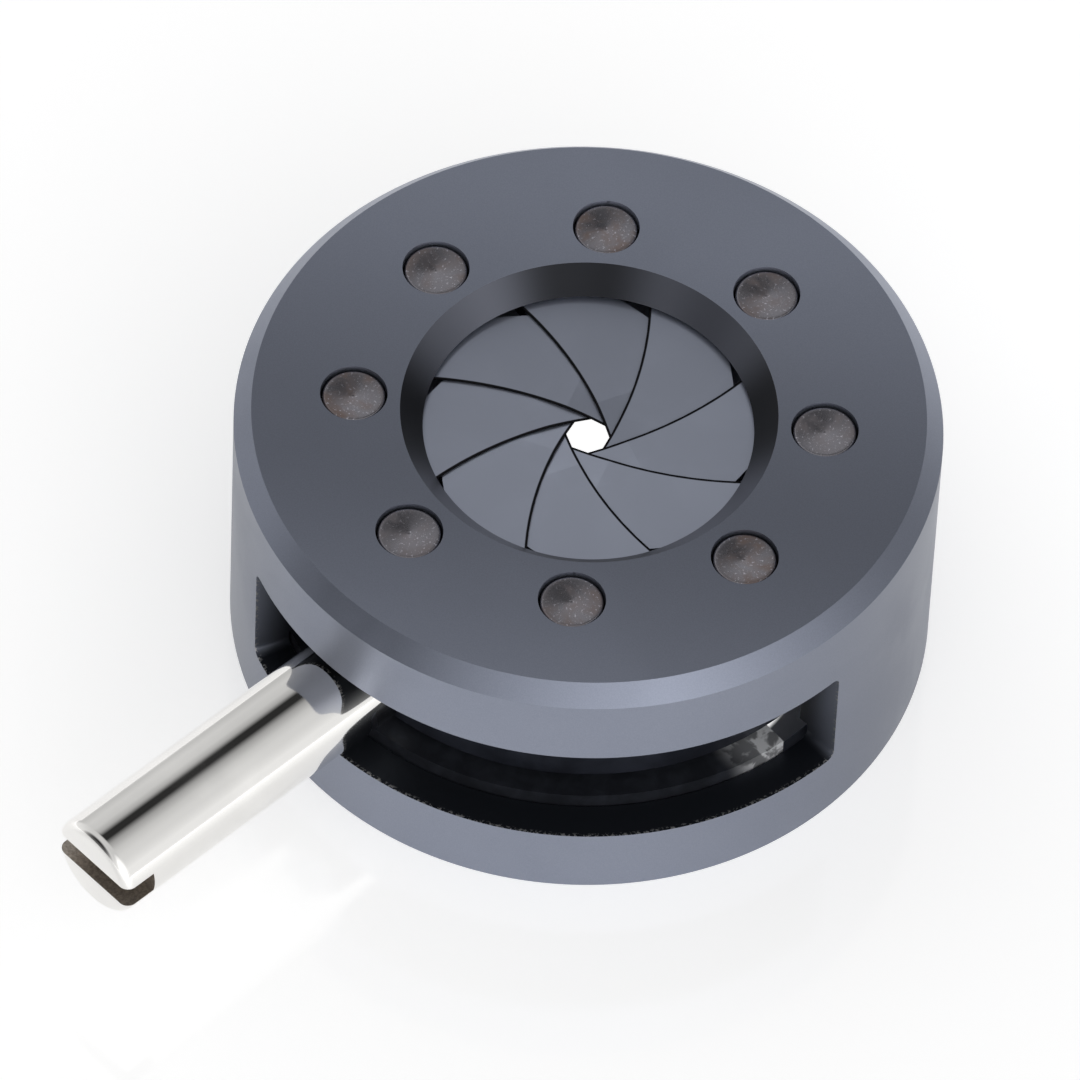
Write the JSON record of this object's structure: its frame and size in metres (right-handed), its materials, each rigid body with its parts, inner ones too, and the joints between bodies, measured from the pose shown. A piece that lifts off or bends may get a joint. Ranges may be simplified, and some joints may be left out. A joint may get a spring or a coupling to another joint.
{
  "type": "iris diaphragm",
  "caption": "Iris diaphragm: interleaved leaves on pins in a round anodised housing, opened by a lever through a side window.",
  "frame": {"origin": "on the optical axis, in the plane of the rear face", "axes": "+Z along the optical axis, out of the pin face; the lever's window is centred on -Y"},
  "size_m": [0.0241, 0.0287, 0.0098],
  "materials": {
    "anodised_shell": "satin slate-grey anodised, fine turned lay",
    "black_ring": "matt black anodised",
    "leaf_sheet": "dark satin tempered sheet",
    "polished_rod": "polished bright steel",
    "pin_steel": "ground and lightly browned pin ends",
    "spring_wire": "drawn spring steel"
  },
  "bodies": {
    "case": {"housing": "anodised_shell", "snap_ring": "spring_wire"},
    "drive": {"drive_ring": "black_ring", "lever_rod": "polished_rod"},
    "leaf_1": {"blade_1": "leaf_sheet", "pivot_pin_1": "pin_steel", "drive_pin_1": "pin_steel"},
    "leaf_2": {"blade_2": "leaf_sheet", "pivot_pin_2": "pin_steel", "drive_pin_2": "pin_steel"},
    "leaf_3": {"blade_3": "leaf_sheet", "pivot_pin_3": "pin_steel", "drive_pin_3": "pin_steel"},
    "leaf_4": {"blade_4": "leaf_sheet", "pivot_pin_4": "pin_steel", "drive_pin_4": "pin_steel"},
    "leaf_5": {"blade_5": "leaf_sheet", "pivot_pin_5": "pin_steel", "drive_pin_5": "pin_steel"},
    "leaf_6": {"blade_6": "leaf_sheet", "pivot_pin_6": "pin_steel", "drive_pin_6": "pin_steel"},
    "leaf_7": {"blade_7": "leaf_sheet", "pivot_pin_7": "pin_steel", "drive_pin_7": "pin_steel"},
    "leaf_8": {"blade_8": "leaf_sheet", "pivot_pin_8": "pin_steel", "drive_pin_8": "pin_steel"}
  },
  "joints": [
    {"name": "ring_turn", "type": "hinge", "parent": "case", "child": "drive", "pos_m": [0, 0, 0.0057], "axis": [0, 0, 1], "range_deg": [-2, 68.3]},
    {"name": "leaf_1_swing", "type": "hinge", "parent": "case", "child": "leaf_1", "pos_m": [-0.00578, 0.00448, 0.009], "axis": [0, 0, 1], "range_deg": [-1.06, 36.07]},
    {"name": "leaf_2_swing", "type": "hinge", "parent": "case", "child": "leaf_2", "pos_m": [-0.00725, -0.00092, 0.009], "axis": [0, 0, 1], "range_deg": [-1.06, 36.07]},
    {"name": "leaf_3_swing", "type": "hinge", "parent": "case", "child": "leaf_3", "pos_m": [-0.00448, -0.00578, 0.009], "axis": [0, 0, 1], "range_deg": [-1.06, 36.07]},
    {"name": "leaf_4_swing", "type": "hinge", "parent": "case", "child": "leaf_4", "pos_m": [0.00092, -0.00725, 0.009], "axis": [0, 0, 1], "range_deg": [-1.06, 36.07]},
    {"name": "leaf_5_swing", "type": "hinge", "parent": "case", "child": "leaf_5", "pos_m": [0.00578, -0.00448, 0.009], "axis": [0, 0, 1], "range_deg": [-1.06, 36.07]},
    {"name": "leaf_6_swing", "type": "hinge", "parent": "case", "child": "leaf_6", "pos_m": [0.00725, 0.00092, 0.009], "axis": [0, 0, 1], "range_deg": [-1.06, 36.07]},
    {"name": "leaf_7_swing", "type": "hinge", "parent": "case", "child": "leaf_7", "pos_m": [0.00448, 0.00578, 0.009], "axis": [0, 0, 1], "range_deg": [-1.06, 36.07]},
    {"name": "leaf_8_swing", "type": "hinge", "parent": "case", "child": "leaf_8", "pos_m": [-0.00092, 0.00725, 0.009], "axis": [0, 0, 1], "range_deg": [-1.06, 36.07]}
  ],
  "couplings": [
    {"joint": "leaf_1_swing", "follows": "ring_turn", "ratio": 0.52792},
    {"joint": "leaf_2_swing", "follows": "ring_turn", "ratio": 0.52792},
    {"joint": "leaf_3_swing", "follows": "ring_turn", "ratio": 0.52792},
    {"joint": "leaf_4_swing", "follows": "ring_turn", "ratio": 0.52792},
    {"joint": "leaf_5_swing", "follows": "ring_turn", "ratio": 0.52792},
    {"joint": "leaf_6_swing", "follows": "ring_turn", "ratio": 0.52792},
    {"joint": "leaf_7_swing", "follows": "ring_turn", "ratio": 0.52792},
    {"joint": "leaf_8_swing", "follows": "ring_turn", "ratio": 0.52792}
  ]
}
